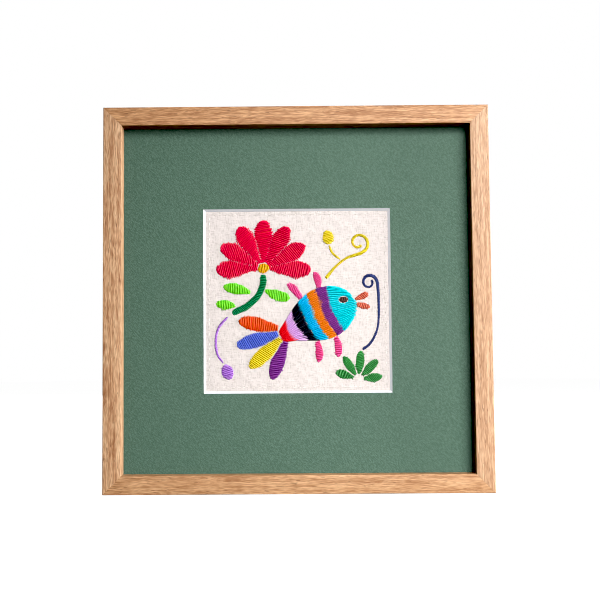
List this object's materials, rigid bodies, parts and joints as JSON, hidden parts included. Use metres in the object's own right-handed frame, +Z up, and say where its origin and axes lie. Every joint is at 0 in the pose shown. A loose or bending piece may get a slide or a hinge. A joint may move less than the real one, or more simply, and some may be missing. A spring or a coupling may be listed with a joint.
{
  "type": "embroidered cloth picture in a box frame",
  "caption": "Square cloth with raised satin-stitched motifs behind a window mat, in a deep mitred wooden box frame that stands on its bottom rail.",
  "frame": {"origin": "middle of the underside, on the surface that the frame stands on, halfway between front and back", "axes": "+Z up, +X to the viewer's right, -Y out of the front of the picture"},
  "size_m": [0.25, 0.035, 0.25],
  "materials": {
    "oak": "satin light oak, grain along each rail",
    "mat_board": "matte green paper on a white core",
    "cloth": "matte plain weave, cream",
    "thread_turquoise": "soft sheen, satin stitch",
    "thread_brown": "soft sheen, satin stitch",
    "thread_purple": "soft sheen, satin stitch",
    "thread_orange": "soft sheen, satin stitch",
    "thread_sky": "soft sheen, satin stitch",
    "thread_black": "soft sheen, satin stitch",
    "thread_lilac": "soft sheen, satin stitch",
    "thread_red": "soft sheen, satin stitch",
    "thread_pink": "soft sheen, satin stitch",
    "thread_crimson": "soft sheen, satin stitch",
    "thread_yellow": "soft sheen, satin stitch",
    "thread_periwinkle": "soft sheen, satin stitch",
    "thread_vermilion": "soft sheen, satin stitch",
    "thread_grass": "soft sheen, satin stitch",
    "thread_terracotta": "soft sheen, satin stitch",
    "thread_lime": "soft sheen, satin stitch",
    "thread_gold": "soft sheen, satin stitch",
    "thread_violet": "soft sheen, satin stitch",
    "thread_pine": "soft sheen, satin stitch",
    "thread_navy": "soft sheen, satin stitch",
    "back_board": "matte fibreboard",
    "steel": "satin"
  },
  "bodies": {
    "root": {"rail_bottom": "oak", "rail_right": "oak", "rail_top": "oak", "rail_left": "oak", "mat": "mat_board", "cloth": "cloth", "head": "thread_turquoise", "eye": "thread_brown", "band_purple": "thread_purple", "band_orange": "thread_orange", "band_sky": "thread_sky", "band_black": "thread_black", "band_lilac": "thread_lilac", "band_red": "thread_red", "fin_back_front": "thread_pink", "fin_back_rear": "thread_pink", "fin_belly_front": "thread_pink", "fin_belly_rear": "thread_pink", "petal_1": "thread_crimson", "petal_2": "thread_crimson", "petal_3": "thread_crimson", "petal_4": "thread_crimson", "petal_5": "thread_crimson", "petal_6": "thread_crimson", "petal_7": "thread_crimson", "tail_1": "thread_purple", "tail_2": "thread_yellow", "tail_3": "thread_periwinkle", "tail_4": "thread_vermilion", "tuft_1": "thread_grass", "tuft_2": "thread_grass", "tuft_3": "thread_grass", "tuft_4": "thread_grass", "tuft_5": "thread_grass", "lip_upper": "thread_terracotta", "lip_lower": "thread_terracotta", "leaf_outer": "thread_lime", "leaf_inner": "thread_lime", "leaf_low": "thread_lime", "heart": "thread_gold", "bud_yellow": "thread_yellow", "bud_violet": "thread_violet", "stem": "thread_pine", "tendril_violet": "thread_violet", "twig_yellow": "thread_yellow", "tendril_navy": "thread_navy", "tendril_yellow": "thread_yellow", "back_board": "back_board", "point_bottom_a": "steel", "point_bottom_b": "steel", "point_right_a": "steel", "point_right_b": "steel", "point_top_a": "steel", "point_top_b": "steel", "point_left_a": "steel", "point_left_b": "steel"}
  },
  "joints": []
}
